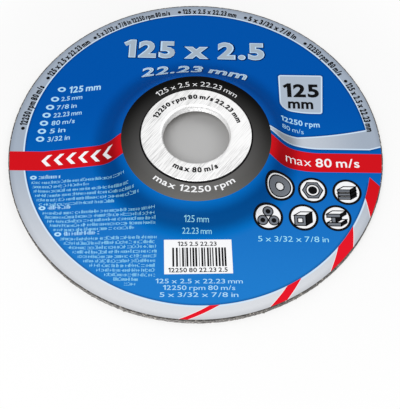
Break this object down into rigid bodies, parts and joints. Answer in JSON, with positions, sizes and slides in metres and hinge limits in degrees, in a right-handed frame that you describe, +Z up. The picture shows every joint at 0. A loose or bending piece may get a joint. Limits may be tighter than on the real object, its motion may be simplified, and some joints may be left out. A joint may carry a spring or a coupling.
{
  "type": "cut-off wheel",
  "caption": "Thin abrasive disc dished up to a flat hub, with a printed paper label and a flanged steel ring in the bore, for cutting metal with an angle grinder.",
  "frame": {"origin": "on the bore axis, in the plane of the flat annulus that the wheel rests on", "axes": "+Z up along the bore axis, from the flat underside towards the raised hub and the label; -Y towards the viewer of the label"},
  "size_m": [0.125, 0.125, 0.0076],
  "materials": {
    "abrasive": "matte",
    "label": "satin",
    "steel": "satin"
  },
  "bodies": {
    "root": {"abrasive_disc": "abrasive", "label": "label", "arbor_ring": "steel"}
  },
  "joints": []
}
